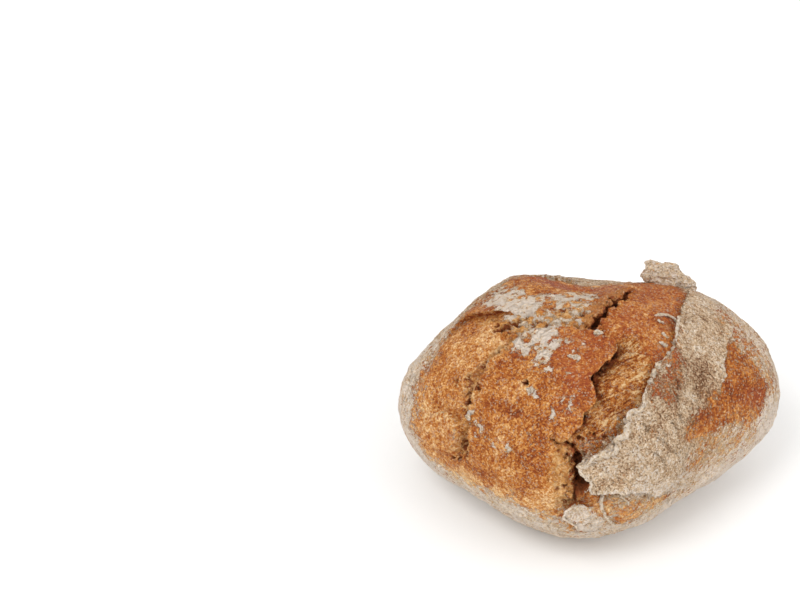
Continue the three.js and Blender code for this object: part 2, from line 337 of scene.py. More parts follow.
RIGHT_STREAKS = [
    (58, 40), (64, 46), (70, 38), (76, 26), (80, 12), (79, 2), (74, 8), (70, 17), (66, 24), (61, 27),
    (57, 30)]
GREY_SKIN = [
    (58, 56), (52, 44), (44, 34), (38, 24), (34, 15), (39, 9), (48, 6), (54, 13), (57, 24), (58, 36),
    (64, 54)]
WORN_BY_EDGE = [(19, 3), (24, 10), (30, 16), (34, 22), (36, 16), (35, 8), (32, 2), (26, -1)]
UNDER_TONGUE = [(4, -29), (12, -29.5), (22, -32), (33, -32.5), (30, -38), (16, -43), (8, -41), (3, -36)]
LOWER_RIGHT = [(36, -12), (46, -8), (56, -12), (66, -8), (72, -12), (64, -22), (48, -26), (38, -24)]
LEFT_GOLD = [
    (-62, 36), (-52, 39), (-40, 38), (-34, 29), (-30, 22), (-36, 12), (-40, 2), (-41, -10), (-45, -18),
    (-56, -22), (-66, -14), (-66, 0), (-62, 18)]
GOLD_BUMP = [(-60, -9), (-55, -4), (-47, -4.5), (-43.5, -10), (-46, -17), (-56, -18)]
LOWER_LEFT = [
    (-60, -26), (-46, -28), (-34, -31), (-22, -31), (-12, -34), (-4, -40), (-10, -46), (-26, -44),
    (-44, -42), (-58, -36)]
TONGUE = [
    (-4, -14), (6, -12), (13, -4), (20, 4), (27, 12), (34, 14), (40, 4), (38, -10), (34, -24), (24, -33),
    (8, -30), (-2, -26)]
TORN_TOP = [
    (-40, 41), (-30, 38), (-24, 42), (-14, 40), (-4, 42), (6, 44), (12, 48), (9, 38), (3, 29), (-8, 29),
    (-18, 29), (-25, 26), (-34, 30), (-45, 36)]
PALE_BAND = [(-24, 33), (-16, 38), (-6, 37), (2, 38), (4, 31), (-2, 29), (-10, 30), (-20, 29.5)]
STRIP = [
    (11, 20), (18, 26), (22, 20), (21, 9), (17, 1), (12, -4), (7, -10), (1, -9), (0, -2), (4, 2), (3, 8),
    (7, 13)]
STRIP_TOP = [
    (12, 25), (4, 30), (9, 36), (18, 46), (28, 62), (36, 78), (52, 82), (58, 66), (50, 50), (40, 36),
    (33, 22), (24, 14)]
TOP_RIDGE = [(-32, 78), (-26, 72), (-8, 70), (8, 76), (28, 84), (24, 96), (0, 102), (-24, 96)]
DARK_SKIN = [(37, 16), (44, 19), (50, 12), (49, 4), (43, 0), (38, 7)]
DUSTED_TOP = [
    (-44, 56), (-48, 50), (-40, 45), (-34, 43), (-32, 38), (-25, 34), (-20, 40), (-21, 48), (-27, 56),
    (-34, 62), (-40, 62)]
DUSTED_BAND = [
    (-18, 58), (-8, 60), (3, 62), (8, 50), (6.5, 45), (2.5, 35.5), (-5.5, 32), (-15, 30.5), (-25, 31),
    (-31, 36), (-36, 46), (-26, 52)]
DUSTED_PLATE = [
    (-27, 24), (-25, 28), (-18, 29.5), (-12, 29), (-8, 25), (-10, 21), (-12.5, 16), (-16, 13), (-19, 17),
    (-24, 19)]
DUSTED_BACK = [
    (-15.5, 47.5), (-12, 54), (-6, 58.5), (2, 62), (7, 60), (8, 50), (2, 44), (-6, 42), (-12, 44)]
RED_SPOT = [(63, 6.5), (67.5, 8), (71.5, 5), (71, 0), (65, -3), (61, 1.5)]
PLATE_RED = [
    (-12, 27), (0, 26), (10, 21), (9, 16), (3, 11), (1, 3), (-3, -4), (-8, 0), (-9, 10), (-13, 18)]

# How far each lesser torn edge's high side and low side fade, how far its wall folds under, how dark its
# shade is painted.
LESSER_EDGES = (
    (SHELF_EDGE, 5.0, 4.0, 1.8, 0.35), (FLAP_EDGE, 4.0, 2.5, 1.8, 0.5), (PATCH_EDGE, 6.0, 7.0, 0.6, 0.0),
    (TEAR_EDGE, 5.0, 3.5, 0.7, 0.12), (BAND_EDGE, 3.0, 3.0, 0.9, 0.5), (BACK_EDGE, 5.0, 4.0, 1.5, 0.4),
    (RIDGE_EDGE, 3.0, 3.0, 0.8, 0.2), (BUMP_EDGE, 6.0, 2.5, 0.6, 0.15))

# The share of each split's half width at which its wall begins, and how dark the shade painted inside it is.
SPLITS = ((UPPER_SPLIT, 0.5, 1.0), (MOUTH, 0.35, 0.85), (LEFT_TEAR, 0.1, 0.3))

# Where flour lies thicker or thinner on the skin, and where it is heaped on the bare crust: the region, how
# much, and how soft its outline is.
FLOURED = (
    (SKIN_PATCH, -0.88, 3.5), (RIGHT_STREAKS, -0.24, 3.5), (GREY_SKIN, 0.42, 2.5),
    (WORN_BY_EDGE, -0.72, 3.0), (UNDER_TONGUE, -0.52, 2.0), (LOWER_RIGHT, -0.30, 5.0),
    (LOWER_LEFT, 0.20, 8.0), (TONGUE, 0.42, 3.0), (FLAP, 0.15, 1.0))
DUSTED = (
    (DUSTED_TOP, 1.25, 4.0), (DUSTED_PLATE, 1.20, 3.6), (DUSTED_BACK, 0.45, 4.5), (DUSTED_BAND, 0.72, 3.5))

# How much darker and redder the crust is baked in each region, and how soft its outline is.
BAKED = (
    (LEFT_GOLD, -0.10, -0.2, 6.0), (GOLD_BUMP, -0.05, 0.2, 3.0), (PALE_BAND, -0.10, -0.2, 2.0),
    (STRIP, -0.06, 0.0, 2.5), (STRIP_TOP, 0.0, 0.38, 4.0), (TOP_RIDGE, 0.07, 0.5, 4.0),
    (PLATE_RED, 0.05, 0.5, 4.0), (SKIN_PATCH, 0.10, 0.0, 3.0), (RED_SPOT, 0.10, 0.42, 2.5),
    (RIGHT_STREAKS, -0.12, 0.35, 3.0), (LOWER_LEFT, -0.20, 0.0, 6.0), (LOWER_RIGHT, -0.16, 0.0, 4.0),
    (UNDER_TONGUE, -0.10, 0.0, 3.0), (WORN_BY_EDGE, 0.12, 0.6, 3.0), (SPLIT_SIDE, 0.16, 0.6, 2.0),
    (MOUTH_SIDE, -0.04, 0.0, 2.0))


# ---- the burst crust -----------------------------------------------------------------------------------

LEDGE = 1.2       # how far beside a torn edge the low side lies at its full drop
HALF_WALL = 0.45  # half the width of the wall between a torn edge's two sides
RAGGED = (0.95, 0.55)   # how far, coarsely and finely, the torn edges wander
COARSE_BLOT, FINE_BLOT = 4.5, 1.6   # how big the coarse and the fine turns of that wandering are
PIT_LIP = 0.3     # how high a pit's lip stands
BUMP_RISE = 2.1   # how high the rounded bump at the left end stands
STRIP_GRAIN, TONGUE_GRAIN = 38, -52   # the way the grain runs there, in degrees from u towards v


def frontward(place):
    """1 over the front and the crown, falling to 0 between 120 and 150 mm from the map's middle."""
    return smooth(150, 120, np.linalg.norm(place, axis=1))


def torn_step(s, rise, drop, reach_up, reach_down):
    """Height across a torn edge at distance s, positive on the low side: rise * exp(-distance / reach_up) on
    the high side; -drop over the ledge, and then that times exp(-distance / reach_down), on the low side;
    and a smooth wall between them."""
    high = rise * np.exp(-np.maximum(-s, 0) / reach_up)
    low = -drop * np.exp(-np.maximum(s - LEDGE, 0) / reach_down)
    return high + (low - high) * smooth(-HALF_WALL, HALF_WALL, s)


def overhang(s, size, wide=1.3):
    """How far a place moves along s so that the wall at s = 0 folds under:
    -s * size * exp(-(s / wide)^2)."""
    return -s * size * bell(s, 0, wide)


def ragged(place, coarse, fine):
    """Places pushed about by noise, so that what is drawn there gets a torn outline."""
    p = np.column_stack([place, np.zeros(len(place))])
    wide = np.stack([noise(p / COARSE_BLOT, 3), noise(p / COARSE_BLOT, 4)], 1)
    near = np.stack([fractal(p / FINE_BLOT, 2, 5), fractal(p / FINE_BLOT, 2, 7)], 1)
    return place + coarse * wide + fine * near


def pit_share(place, pit):
    """Distance from a pit's middle as a share of its half length one way and its half width the other."""
    u, v, long, wide, turn, _ = pit
    c, k = math.cos(math.radians(turn)), math.sin(math.radians(turn))
    off = place - (u, v)
    return np.hypot((off @ (c, k)) / long, (off @ (-k, c)) / wide)


def crust_fields(d):
    """Everything about the crust along unit directions d: how far it stands out of the plain crust, how far
    it leans along the map, and the fields that the material reads."""
    place = to_map(d)
    radius = crust_radius(d)
    solid = d * radius[:, None]
    torn_place = ragged(place, *RAGGED)
    front = frontward(place)
    height = np.zeros(len(d))
    lean = np.zeros((len(d), 2))

    # The edge of the floured skin comes first, because the tongue's end closes the mouth beside it.
    s_skin, left, value = beside(torn_place, curve(SKIN_EDGE))
    rise, drop = value.T
    on_skin = smooth(0.3, -0.3, s_skin) * front
    height += torn_step(s_skin, rise, drop, 9.0, 2.5) * front
    lean += (overhang(s_skin, 1.8) * smooth(0, 0.6, rise) * front)[:, None] * left
    # The pale rim along the skin's torn edge: floury skin baked less, and partly a painted highlight along
    # the edge.
    pale = bell(s_skin, -0.6, 0.9) * smooth(0.8, 1.8, rise)
    tongue = smooth(1.3, 2.2, rise) * on_skin * bell(s_skin, 0, 9.0)

    s, left, value = beside(torn_place, curve(PLATE_EDGE))
    rise, drop = value.T
    height += torn_step(s, rise, drop, 6.0, 3.6) * front * (1 - tongue)
    lean += (overhang(s, 1.3) * smooth(0, 1, rise) * front)[:, None] * left
    # Painted shade: the wall under the plate's edge and the low side beside it are marked dark.
    wall = smooth(-0.25, 0.15, s) * np.exp(-np.maximum(s - 0.9, 0) / 0.8)
    deep = wall * smooth(0, 3.8, drop) * (1 - tongue)
    # Pale rim along the plate's edge, partly a painted highlight.
    pale = np.maximum(pale, 0.6 * bell(s, -0.7, 0.4) * smooth(0, 1, rise))

    for edge, reach_up, reach_down, hang, dark in LESSER_EDGES:
        s, left, value = beside(torn_place, curve(edge))
        rise, drop = value.T
        height += torn_step(s, rise, drop, reach_up, reach_down) * front
        lean += (overhang(s, hang) * smooth(0, 0.8, rise) * front)[:, None] * left
        # Painted shade on each lesser edge's wall, as dark as its table says.
        wall = dark * smooth(-0.3, 0.2, s) * np.exp(-np.maximum(s, 0) / 0.8)
        deep = np.maximum(deep, wall * smooth(0, 1, drop))
        # Pale rim along each lesser edge, partly a painted highlight.
        pale = np.maximum(pale, bell(s, -0.7, 0.5) * smooth(0, 0.6, rise))

    # Splits: a cut with a low rim on each side, whose walls are spread apart where the cut goes far down,
    # and painted shade inside.
    for split, wall_at, dark in SPLITS:
        s, left, value = beside(torn_place, curve(split))
        half_width, depth = value.T
        share = np.abs(s) / half_width
        cut = (1 - smooth(wall_at, 1.15, share)) * (1 - tongue) * front
        height -= depth * cut
        spread = s * 0.5 * smooth(2.6, 1.2, share) * smooth(0.4, 1.0, share) * (depth > 2) * front
        lean += spread[:, None] * left
        # Painted shade inside the split, darker the further down it goes.
        inside = (1 - smooth(0.7, 1.25, share)) * (1 - tongue) * front
        deep = np.maximum(deep, dark * inside * depth / 4.6)
        rim = bell(share, 1.5, 0.5) * np.minimum(depth, 3) * front
        height += 0.16 * rim * (1 - tongue)

    # Pits: steep hollows with a small lip, painted dark with shade inside; the lip is marked pale, partly as
    # a painted highlight.
    for pit in PITS:
        depth = pit[-1]
        share = pit_share(torn_place, pit)
        hollow = 1 - smooth(0.65, 1.1, share)
        dark = 1 - smooth(0.95, 1.2, share)
        lip = bell(share, 1.3, 0.25)
        height += PIT_LIP * lip - depth * hollow
        deep = np.maximum(deep, dark * depth / 3.6)
        pale = np.maximum(pale, lip * smooth(0.5, 1.2, depth))
    height += BUMP_RISE * region(torn_place, GOLD_BUMP, 2.2) * front

    fields = crust_looks(place, solid, deep, pale)
    fields["way"] = grain_ways(place, d, solid, fields["fibre"], s_skin)
    height += crust_grain(solid, fields)
    return place, solid, height, lean, fields


def crust_looks(place, solid, deep, pale):
    """The fields that the material reads, each about 0..1: flour lying on the crust (more than 1 is a white
    heap) and how white it is, how dark the bare crust is baked, how red, how torn, how fibrous, and how far
    into a crack, where the material paints shade; and two that only shape the relief: where the crust is
    bare, and where the skin is calm. The thin rims of tears and pits are marked pale: they are baked less
    and hold flour, and the paleness also paints a highlight along those edges."""
    front = frontward(place)
    off_middle = np.linalg.norm(place, axis=1)
    soft_place = ragged(place, 1.8, 1.1)
    edge_place = ragged(place, *RAGGED)
    on_skin = region(edge_place, SKIN_SIDE, 0.4) * front
    bare = region(ragged(place, 3.4, 2.4), BURST, 9.0) * front * (1 - on_skin)
    calm = np.maximum(region(soft_place, TONGUE, 3.0), region(soft_place, GREY_SKIN, 3.0)) * front
    # Painted light: low down the flour is whiter and the crust lighter, lifting the lower sides to the top's
    # brightness; partly flour lying thicker there.
    low = smooth(14, -8, solid[:, 2])

    blotch = fractal(solid / 9.0, 4, 20)
    patchy = fractal(solid / 3.6, 3, 24)
    broken = fractal(solid / 2.0, 3, 26)

    # Flour: much of it on the skin, and more low down, partly as painted light; none on the bare crust but
    # for heaps and flecks.
    flour = 0.76 + 0.12 * blotch + 0.08 * patchy + 0.10 * smooth(8, -16, solid[:, 2])
    flour += (-0.25 + 0.12 * blotch - flour) * bare
    # Whiter on the bare crust, and low down as painted light.
    white = 0.10 + 0.26 * bare + 0.34 * low + 0.12 * patchy
    for patch, amount, soft in FLOURED:
        flour += amount * region(soft_place, patch, soft) * front * (1 + 0.35 * blotch + 0.25 * patchy)
    for patch, amount, soft in DUSTED:
        gaps = np.clip(1 + 0.5 * patchy + 1.3 * broken, 0, 1.5)
        flour += amount * region(soft_place, patch, soft) * front * gaps
    for u, v, size, amount in FLECKS:
        off = soft_place - (u, v)
        fleck = amount * np.exp(-(off ** 2).sum(1) / size ** 2) * np.clip(1 + 2 * broken, 0, 2)
        flour += 1.5 * fleck
        white += 0.35 * fleck
    white -= 0.34 * region(soft_place, DARK_SKIN, 3.0) * front
    # Painted light: the floured ends, left and right, are whitened to lift their shaded sides.
    white += 0.24 * smooth(54, 70, np.abs(place[:, 0])) * (1 - bare)
    flour += (0.06 + 0.25 * fractal(solid / 20.0, 2, 28)) * smooth(85, 120, off_middle)
    # Pale rims hold flour and are whiter, partly as a painted highlight; flour is kept out of cracks.
    white += 0.20 * np.maximum(pale, 0) - 0.15 * calm
    flour += 0.30 * pale - 1.4 * smooth(0.12, 0.5, deep)

    # Torn crumb: over the top, along the tear, beside the mouth and the split, and in every crack.
    torn = region(soft_place, TORN_TOP, 2.5)
    s_tear, _, value = beside(soft_place, curve(LEFT_TEAR))
    beside_tear = np.exp(-(np.minimum(s_tear, 0) / 2.5) ** 2 - (np.maximum(s_tear, 0) / 5.0) ** 2)
    torn = np.maximum(torn, beside_tear * smooth(0.3, 1.0, value[:, 1])) * front
    beside_split = np.maximum(region(soft_place, MOUTH_SIDE, 1.5), region(soft_place, SPLIT_SIDE, 1.5))
    torn = np.maximum(torn, beside_split)
    torn = np.maximum(torn, smooth(0.1, 0.5, deep))
    fibre = region(soft_place, STRIP, 2.0) * front * (1 - on_skin)

    # Toast is lighter on pale rims, partly a painted highlight, and low down, as painted light on the lower
    # sides.
    toast = 0.52 + 0.13 * blotch + 0.08 * patchy - 0.08 * torn - 0.22 * pale - 0.14 * low
    red = 0.10 + 0.25 * blotch
    for area, darker, redder, soft in BAKED:
        inside = region(soft_place, area, soft) * front
        toast += darker * inside
        red += redder * inside
    # Cracks are reddened too: partly the red-brown of their torn walls, partly painted shade.
    red += 0.8 * smooth(0.05, 0.4, deep)
    return {
        "flour": np.clip(flour, -0.5, 1.4), "white": white, "toast": np.clip(toast, 0, 1),
        "red": np.clip(red, 0, 1), "torn": np.clip(torn, 0, 1), "fibre": fibre,
        "deep": np.clip(deep, 0, 1), "bare": bare, "calm": calm}


def grain_ways(place, d, solid, fibre, s_skin):
    """Millimetres across the grain and a share of the millimetres along it, so that even noise of them is
    drawn out in streaks: round the burst over most of the roll, a ninth along; and a quarter along, up to
    the right over the torn strip and down to the right over the tongue. Slow noise bends them all."""
    bend = 2.6 * fractal(solid / 16.0, 2, 50)
    off_burst = MAP_RADIUS * np.arccos(np.clip(d @ MAP_OUT, -1, 1))
    along = MAP_RADIUS / 9
    ways = [np.stack([off_burst + bend, along * (d @ MAP_RIGHT), along * (d @ MAP_UP)], 1)]
    for degrees in (STRIP_GRAIN, TONGUE_GRAIN):
        c, k = math.cos(math.radians(degrees)), math.sin(math.radians(degrees))
        ways.append(np.column_stack([place @ (-k, c) + bend, 0.25 * (place @ (c, k)), 0.1 * solid[:, 2]]))
    on_tongue = (region(place, TONGUE, 0.5) > 0.5) & (s_skin < 0)
    pick = np.where(on_tongue, 2, np.where(fibre > 0.3, 1, 0))
    return np.choose(pick[:, None], ways)


def crust_grain(solid, fields):
    """Small relief, each kind weighted by its fields: low swells everywhere; blisters on the bare crust,
    from the distance to scattered points and from noise; torn crumb beside the splits, noise less holes
    round scattered points; ridges along the fibres of the strip; and wrinkles along the grain of the floured
    skin. The holes are added to the field of cracks, so that they are painted with shade too. The fields
    bare and calm are taken out here, because the material doesn't read them."""
    torn, fibre, way = (fields[name] for name in ("torn", "fibre", "way"))
    bare, calm = fields.pop("bare"), fields.pop("calm")
    swell = 0.75 * fractal(solid / 14.0, 3, 60)
    blister = 0.22 * (0.6 - cells(solid / 2.6, 61)) + 0.26 * fractal(solid / 3.4, 4, 62, 0.66)
    holes = smooth(0.40, 0.22, cells(solid / 2.6, 64))
    crumb = 0.80 * fractal(solid / 2.8, 4, 63, 0.6) - 1.3 * holes
    strands = 1.3 * ridged(way / 1.6, 3, 66) - 0.9
    wrinkle = 1.0 * ridged(way / 2.2, 2, 65) + 0.8 * ridged(way / 7.0, 2, 68) - 1.3
    wrinkle += 0.14 * fractal(solid / 1.6, 2, 67)
    crumbly = torn * (1 - 0.6 * fibre)
    # Painted shade in the crumb's holes.
    fields["deep"] = np.maximum(fields["deep"], 0.42 * holes * crumbly)
    return (swell + bare * (1 - torn) * (1 - fibre) * blister + crumbly * crumb + fibre * strands
            + (1 - bare) * (1 - fibre) * (1 - crumbly) * (1 - 0.85 * calm) * wrinkle)


def flat_spot(points):
    """The crust pressed flat where it rests: nothing lies below the base."""
    points[:, 2] = np.maximum(points[:, 2], -BASE_DROP)
    return points


def crust_points(d):
    """The finished crust along unit directions, in mm about the waist's middle, and its fields: the plain
    crust plus its height outwards and its lean along the map, roughened by noise in all three axes, most in
    cracks and torn crumb, and nearly smooth where it rests."""
    place, solid, height, lean, fields = crust_fields(d)
    along_u, along_v = map_axes(place)
    off_base = smooth(-BASE_DROP + 0.2, -BASE_DROP + 5.0, solid[:, 2])
    points = solid + d * (height * (0.15 + 0.85 * off_base))[:, None]
    points += lean[:, :1] * along_u + lean[:, 1:] * along_v
    rough = (0.09 + 0.50 * smooth(0.05, 0.5, fields["deep"]) + 0.20 * fields["torn"]) * off_base
    points += rough[:, None] * np.stack([fractal(points / 1.5, 3, 40 + k) for k in range(3)], 1)
    return flat_spot(points), fields


def waist_middle():
    """Where the waist's middle lies in the frame, in mm: the plain crust's left end, back and base touch the
    CAD solid's box."""
    low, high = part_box("bread_roll")
    around = direction(np.arange(0, 360, 0.25)[:, None], np.arange(-40, 60, 0.5)[None, :]).reshape(-1, 3)
    plain = around * crust_radius(around)[:, None]
    x = low.x / MM - plain[:, 0].min()
    y = high.y / MM - plain[:, 1].max()
    return np.array([x, y, low.z / MM + BASE_DROP])


MIDDLE = waist_middle()

# ---- meshes --------------------------------------------------------------------------------------------

GRID = 128        # cells along each side of the crust's six patches
CLOSER = 0.57     # how much finer the cells are at the front than at the sides
DRAWN = 0.6       # share of their distance that the cells beside a torn edge are drawn in
PIT_DRAWN = 0.45  # the same round a pit

# The edges that cells are drawn towards: the path, how far off they are drawn from, and where they gather,
# as a share of the path's third column, which for a split is its half width.
DRAWN_TO = (
    (PLATE_EDGE, 2.2, 0.0), (SKIN_EDGE, 2.2, 0.0), (UPPER_SPLIT, 1.8, 0.8), (MOUTH, 1.8, 0.8),
    (SHELF_EDGE, 2.0, 0.0), (FLAP_EDGE, 1.8, 0.0), (LEFT_TEAR, 2.5, 0.0))


def patch_sphere(across):
    """Unit directions and quads, facing outwards, of a sphere made of six square patches, whose cells are
    evened by the tangent of equal angles."""
    t = np.tan(np.linspace(-1, 1, across + 1) * math.pi / 4)
    a, b = np.meshgrid(t, t, indexing="ij")
    one = np.ones_like(a)
    sides = [(a, b, one), (b, a, -one), (one, a, b), (-one, b, a), (b, one, a), (a, -one, b)]
    points = np.vstack([np.stack([x.ravel(), y.ravel(), z.ravel()], 1) for x, y, z in sides])
    i, j = np.meshgrid(np.arange(across), np.arange(across), indexing="ij")
    first = (i * (across + 1) + j).ravel()
    quad = np.stack([first, first + across + 1, first + across + 2, first + 1], 1)
    quads = np.vstack([quad + k * (across + 1) ** 2 for k in range(6)])
    _, keep, same = np.unique(np.round(points, 6), axis=0, return_index=True, return_inverse=True)
    points, quads = points[keep], same.ravel()[quads]
    return points / np.linalg.norm(points, axis=1)[:, None], quads


def crust_grid():
    """The sphere of patches with the patch in front drawn together, on the map every place to CLOSER times
    its distance from the middle; then the cells beside each torn edge drawn in towards it, or towards the
    walls of a split, by DRAWN times their distance times exp(-(distance / reach)^2); and then those round a
    pit."""
    points, quads = patch_sphere(GRID)
    right, up, out = points.T
    below = (1 + out) + CLOSER ** 2 * (1 - out)
    flat = 2 * CLOSER / below
    out = ((1 + out) - CLOSER ** 2 * (1 - out)) / below
    sideways = (flat * right)[:, None] * MAP_RIGHT + (flat * up)[:, None] * MAP_UP
    place = to_map(sideways + out[:, None] * MAP_OUT)
    for path, wide, wall_at in DRAWN_TO:
        s, left, value = beside(ragged(place, *RAGGED), curve(path))
        s = s - wall_at * np.sign(s) * value[:, 0]
        pull = DRAWN * s * bell(s, 0, wide) * smooth(0, 1, value[:, 1])
        place = place - pull[:, None] * left
    moved = ragged(place, *RAGGED)
    for pit in PITS:
        pull = PIT_DRAWN * bell(pit_share(moved, pit), 0, 1.6)
        place = place - pull[:, None] * (moved - pit[:2])
    return to_direction(place), quads


def piece(name, points, faces, fields, material):
    """A mesh object from points in mm about the waist's middle, with a field as each vertex attribute."""
    mesh = bpy.data.meshes.new(name)
    mesh.from_pydata(((points + MIDDLE) * MM).tolist(), [], faces)
    mesh.polygons.foreach_set("use_smooth", [True] * len(faces))
    for field, values in fields.items():
        kind, slot = ("FLOAT", "value") if values.ndim == 1 else ("FLOAT_VECTOR", "vector")
        layer = mesh.attributes.new(field, kind, "POINT")
        layer.data.foreach_set(slot, values.astype(np.float32).ravel())
    mesh.materials.append(material)
    mesh.update()
    made = bpy.data.objects.new(name, mesh)
    bpy.context.scene.collection.objects.link(made)
    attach(made, "root")
    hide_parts("bread_roll")
    return made


# ---- materials -----------------------------------------------------------------------------------------


def colour(red, green, blue):
    """Linear RGBA of a display colour given as 0..255."""
    c = np.array([red, green, blue]) / 255
    c = np.where(c <= 0.04045, c / 12.92, ((c + 0.055) / 1.055) ** 2.4)
    return (*[float(x) for x in c], 1.0)


class Nodes:
    """Short names for adding and linking nodes in one tree."""

    def __init__(self, tree):
        self.tree = tree

    def add(self, kind, inputs=None, **settings):
        """A new node of a kind, with its settings made and its inputs linked or set."""
        node = self.tree.nodes.new(kind)
        for key, value in settings.items():
            setattr(node, key, value)
        for key, value in (inputs or {}).items():
            self.put(node.inputs[key], value)
        return node

    def put(self, socket, value):
        """Links a socket into an input, or sets the input to a value."""
        if isinstance(value, bpy.types.NodeSocket):
            self.tree.links.new(value, socket)
        else:
            socket.default_value = value

    def math(self, operation, *values):
        """One Math node over values or sockets."""
        node = self.add("ShaderNodeMath", operation=operation)
        for socket, value in zip(node.inputs, values):
            self.put(socket, value)
        return node.outputs[0]

    def total(self, *weighted):
        """The sum of value * weight over (value, weight) pairs."""
        result = 0.0
        for value, weight in weighted:
            result = self.math("MULTIPLY_ADD", value, weight, result)
        return result

    def noise(self, where, size, detail=3.0, rough=0.55):
        """Noise about -0.5..0.5 with blots about `size` metres across."""
        node = self.add("ShaderNodeTexNoise", {
            "Vector": where, "Scale": 1 / size, "Detail": detail, "Roughness": rough})
        return self.math("SUBTRACT", node.outputs["Fac"], 0.5)

    def specks(self, where, size):
        """A random number -0.5..0.5 for each cell of a Voronoi pattern about `size` metres across."""
        node = self.add("ShaderNodeTexVoronoi", {"Vector": where, "Scale": 1 / size})
        parted = self.add("ShaderNodeSeparateColor", {"Color": node.outputs["Color"]})
        return self.math("SUBTRACT", parted.outputs["Red"], 0.5)

    def ramp(self, value, low, high):
        """0 at low, 1 at high, smooth between."""
        node = self.add("ShaderNodeMapRange", {"Value": value, "From Min": low, "From Max": high},
                        interpolation_type="SMOOTHSTEP")
        return node.outputs["Result"]

    def mix(self, factor, a, b):
        """Colour a turning into colour b as the factor goes from 0 to 1."""
        node = self.add("ShaderNodeMix", data_type="RGBA")
        self.put(node.inputs["Factor"], factor)
        self.put(node.inputs[6], a)
        self.put(node.inputs[7], b)
        return node.outputs[2]

    def shades(self, value, stops):
        """A colour ramp through (position, (red, green, blue)) stops."""
        node = self.add("ShaderNodeValToRGB", {"Fac": value})
        elements = node.color_ramp.elements
        while len(elements) < len(stops):
            elements.new(0.5)
        for element, (at, shade) in zip(elements, stops):
            element.position = at
            element.color = colour(*shade)
        return node.outputs["Color"]

    def field(self, name):
        """A number that the mesh carries at each vertex."""
        return self.add("ShaderNodeAttribute", attribute_name=name).outputs["Fac"]


def shader_group(name, inputs, outputs):
    """An empty node group, its Nodes, and the sockets that its inputs come in by."""
    tree = bpy.data.node_groups.new(name, "ShaderNodeTree")
    for label, kind in inputs:
        tree.interface.new_socket(label, in_out="INPUT", socket_type=kind)
    for label, kind in outputs:
        tree.interface.new_socket(label, in_out="OUTPUT", socket_type=kind)
    n = Nodes(tree)
    return n, n.add("NodeGroupInput").outputs, n.add("NodeGroupOutput").inputs


BAKE_SHADES = (
    (0.0, (236, 200, 150)), (0.28, (205, 143, 76)), (0.5, (173, 98, 38)), (0.74, (131, 61, 20)),
    (1.0, (88, 38, 15)))
REDDENED = (166, 78, 48)
CRUMB = (196, 148, 88)
PALE_GRAIN = (238, 206, 168)
# Painted shade for cracks: a dimmed red-brown for their walls and near black for their floors.
SPLIT_WALL_SHADE = (138, 68, 32)
SPLIT_FLOOR_SHADE = (56, 20, 8)
FLOUR_SHADES = (
    (0.0, (100, 62, 42)), (0.28, (172, 134, 102)), (0.55, (220, 187, 150)), (0.88, (253, 230, 199)),
    (1.0, (255, 239, 222)))

FINE_GRAIN, COARSE_GRAIN = 0.0004, 0.0008   # metres across the specks that bread and flour are mottled with
FLOUR_GRAIN = 0.00038   # metres across the specks of flour that lie or don't
HEAP_SHADE = 0.24       # how light flour is before its amount, whiteness and mottling are added


def baked_grain_group():
    """Bare crust: each speck of it baked a little lighter or darker than its place says, from pale gold to
    red-brown, with pale grains; paler crumb where it is torn, drawn out along the fibres, and painted shade
    in the cracks, from dimmed red-brown to near black the further in. The height falls where a speck is
    baked darker and rises along the fibres."""
    n, given, out = shader_group(
        "baked grain",
        [("Where", "NodeSocketVector"), ("Way", "NodeSocketVector"), ("Toast", "NodeSocketFloat"),
         ("Red", "NodeSocketFloat"), ("Torn", "NodeSocketFloat"), ("Fibre", "NodeSocketFloat"),
         ("DepthAndShade", "NodeSocketFloat")],
        [("Color", "NodeSocketColor"), ("Height", "NodeSocketFloat")])
    where = given["Where"]
    small = n.specks(where, FINE_GRAIN)
    large = n.specks(where, COARSE_GRAIN)
    soft = n.noise(where, 0.0016, 4, 0.65)
    broad = n.noise(where, 0.006, 3, 0.6)
    strands = n.noise(given["Way"], 0.8, 4, 0.65)
    fibres = n.math("MULTIPLY", strands, given["Fibre"])

    bake = n.total((given["Toast"], 1.0), (small, 0.52), (large, 0.14), (soft, 0.62), (broad, 0.56),
                   (fibres, 1.9), (strands, 0.5))
    bare = n.shades(bake, BAKE_SHADES)
    reddening = n.total((given["Red"], 0.6), (soft, 0.8))
    bare = n.mix(n.math("MULTIPLY", n.ramp(reddening, 0.0, 0.8), 0.75), bare, colour(*REDDENED))
    crumb = n.ramp(n.total((given["Torn"], 1.0), (soft, 1.0)), 0.4, 1.0)
    bare = n.mix(n.math("MULTIPLY", crumb, 0.4), bare, colour(*CRUMB))
    grains = n.math("MULTIPLY", n.ramp(small, 0.34, 0.42), 0.36)
    bare = n.mix(grains, bare, colour(*PALE_GRAIN))

    # Painted shade in cracks: from the wall's dimmed red-brown to the floor's near black.
    depth = n.total((given["DepthAndShade"], 1.0), (large, 0.35), (soft, 0.5))
    inside = n.mix(n.ramp(depth, 0.40, 0.95), colour(*SPLIT_WALL_SHADE), colour(*SPLIT_FLOOR_SHADE))
    n.put(out["Color"], n.mix(n.math("MULTIPLY", n.ramp(depth, 0.08, 0.42), 0.9), bare, inside))
    n.put(out["Height"], n.total((small, -0.5), (large, -0.5), (soft, 0.9), (fibres, 1.5)))
    return n.tree


